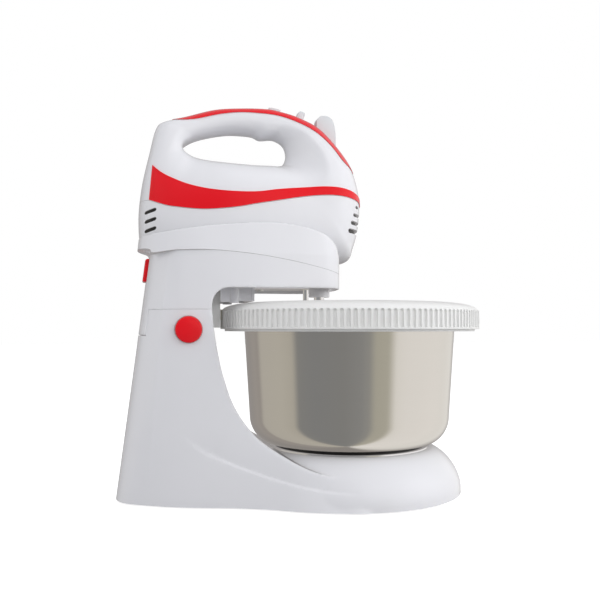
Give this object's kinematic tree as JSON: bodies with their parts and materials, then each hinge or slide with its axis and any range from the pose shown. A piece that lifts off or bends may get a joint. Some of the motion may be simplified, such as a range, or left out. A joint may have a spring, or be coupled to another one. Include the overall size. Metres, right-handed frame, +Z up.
{
  "type": "stand mixer",
  "caption": "Stand mixer: hand mixer docked on a tilting arm over a steel bowl that a ring gear turns on its base.",
  "frame": {"origin": "under the middle of the whole machine, on the surface it stands on", "axes": "+Z up, +X from the column towards the bowl, +Y to the far side from the round tilt button"},
  "size_m": [0.3118, 0.225, 0.3301],
  "materials": {
    "white_gloss": "gloss white, faintly cool in shade",
    "ring_white": "satin off-white",
    "red_gloss": "gloss red",
    "control_white": "satin white",
    "inner_grey": "matt grey",
    "dark_plastic": "matt near-black",
    "nylon": "satin natural nylon",
    "rubber": "matt black",
    "bowl_steel": "brushed, soft vertical bands",
    "bright_metal": "polished",
    "steel": "plain steel",
    "lamination": "dark laminated iron",
    "bracket": "satin",
    "bearing_bronze": "sintered bronze",
    "copper": "varnished copper"
  },
  "bodies": {
    "base": {"base_shell": "white_gloss", "base_plate": "inner_grey", "base_feet": "rubber", "base_screws": "steel", "spindle": "steel", "spindle_washer": "steel", "hinge_block": "inner_grey", "tilt_spring": "steel"},
    "arm": {"hinge_pin": "steel", "arm_shell": "white_gloss", "arm_cover": "white_gloss", "arm_screws": "steel", "pinion_housing": "ring_white", "guide_bush": "nylon", "gear_cover": "nylon", "idler_pins": "steel", "release_spring": "steel"},
    "tilt_button": {"tilt_button": "red_gloss"},
    "release_button": {"release_button": "red_gloss"},
    "idler_a": {"idler_a": "nylon"},
    "idler_b": {"idler_b": "nylon"},
    "pinion": {"pinion": "nylon"},
    "beater_left": {"beater_left": "bright_metal", "drive_collar": "bright_metal"},
    "beater_right": {"beater_right": "bright_metal"},
    "bowl": {"bowl": "bowl_steel", "turntable": "dark_plastic", "turntable_rim": "bright_metal", "bowl_ring": "ring_white"},
    "mixer": {"mixer_upper_housing": "white_gloss", "mixer_lower_housing": "white_gloss", "top_trim": "red_gloss", "side_trim_left": "red_gloss", "side_trim_right": "red_gloss", "housing_screws": "steel", "cord_inlet": "control_white", "motor_stator": "lamination", "field_coils": "copper", "motor_bracket_rear": "bracket", "motor_bracket_front": "bracket", "bearing_rear": "bearing_bronze", "bearing_front": "bearing_bronze", "brush_holders": "dark_plastic", "spindle_bushes": "bearing_bronze", "gearbox_plate": "bracket", "speed_switch": "dark_plastic", "eject_spring": "steel"},
    "armature": {"motor_shaft": "steel", "armature_core": "lamination", "armature_windings": "copper", "commutator": "copper", "fan": "nylon", "worm": "steel"},
    "spindle_left": {"worm_wheel_left": "nylon"},
    "spindle_right": {"worm_wheel_right": "nylon"},
    "turbo_button": {"turbo_button": "control_white"},
    "speed_slider": {"speed_slider": "control_white"},
    "eject_button": {"eject_button": "control_white"}
  },
  "joints": [
    {"name": "arm_tilt", "type": "hinge", "parent": "base", "child": "arm", "pos_m": [-0.1275, 0, 0.153], "axis": [0, -1, 0], "range_deg": [0, 45]},
    {"name": "bowl_spin", "type": "hinge", "parent": "base", "child": "bowl", "pos_m": [0.0435, 0, 0.036], "axis": [0, 0, 1], "continuous": true},
    {"name": "tilt_button_press", "type": "slide", "parent": "base", "child": "tilt_button", "axis": [0, 1, 0], "range_m": [0, 0.004], "stiffness_N_per_m": 500, "springref_m": -0.002},
    {"name": "release_press", "type": "slide", "parent": "arm", "child": "release_button", "axis": [1, 0, 0], "range_m": [0, 0.003], "stiffness_N_per_m": 500, "springref_m": -0.002},
    {"name": "idler_a_spin", "type": "hinge", "parent": "arm", "child": "idler_a", "pos_m": [-0.01422, -0.01714, 0.183], "axis": [0, 0, 1], "continuous": true},
    {"name": "idler_b_spin", "type": "hinge", "parent": "arm", "child": "idler_b", "pos_m": [-0.04343, -0.00904, 0.183], "axis": [0, 0, 1], "continuous": true},
    {"name": "pinion_spin", "type": "hinge", "parent": "arm", "child": "pinion", "pos_m": [-0.07601, 0, 0.16], "axis": [0, 0, 1], "continuous": true},
    {"name": "beater_left_spin", "type": "hinge", "parent": "arm", "child": "beater_left", "pos_m": [0.0105, -0.024, 0.15], "axis": [0, 0, 1], "continuous": true},
    {"name": "beater_right_spin", "type": "hinge", "parent": "arm", "child": "beater_right", "pos_m": [0.0105, 0.024, 0.15], "axis": [0, 0, 1], "continuous": true},
    {"name": "mixer_lift", "type": "slide", "parent": "arm", "child": "mixer", "axis": [0, 0, 1], "range_m": [0, 0.12]},
    {"name": "armature_spin", "type": "hinge", "parent": "mixer", "child": "armature", "pos_m": [-0.0565, 0, 0.236], "axis": [1, 0, 0], "continuous": true},
    {"name": "spindle_left_spin", "type": "hinge", "parent": "mixer", "child": "spindle_left", "pos_m": [0.0105, -0.024, 0.236], "axis": [0, 0, 1], "continuous": true},
    {"name": "spindle_right_spin", "type": "hinge", "parent": "mixer", "child": "spindle_right", "pos_m": [0.0105, 0.024, 0.236], "axis": [0, 0, 1], "continuous": true},
    {"name": "turbo_press", "type": "slide", "parent": "mixer", "child": "turbo_button", "axis": [0, 0, -1], "range_m": [0, 0.0015], "stiffness_N_per_m": 400, "springref_m": -0.001},
    {"name": "speed_slide", "type": "slide", "parent": "mixer", "child": "speed_slider", "axis": [-0.9511, 0, 0.309], "range_m": [0, 0.012]},
    {"name": "eject_press", "type": "slide", "parent": "mixer", "child": "eject_button", "axis": [0, 0, -1], "range_m": [0, 0.006], "stiffness_N_per_m": 400, "springref_m": -0.003}
  ],
  "couplings": [
    {"joint": "spindle_left_spin", "follows": "armature_spin", "ratio": 0.033333},
    {"joint": "spindle_right_spin", "follows": "armature_spin", "ratio": -0.033333},
    {"joint": "beater_left_spin", "follows": "armature_spin", "ratio": 0.033333},
    {"joint": "beater_right_spin", "follows": "armature_spin", "ratio": -0.033333},
    {"joint": "idler_a_spin", "follows": "armature_spin", "ratio": -0.027778},
    {"joint": "idler_b_spin", "follows": "armature_spin", "ratio": 0.02381},
    {"joint": "pinion_spin", "follows": "armature_spin", "ratio": -0.022222},
    {"joint": "bowl_spin", "follows": "armature_spin", "ratio": 0.0015873}
  ]
}
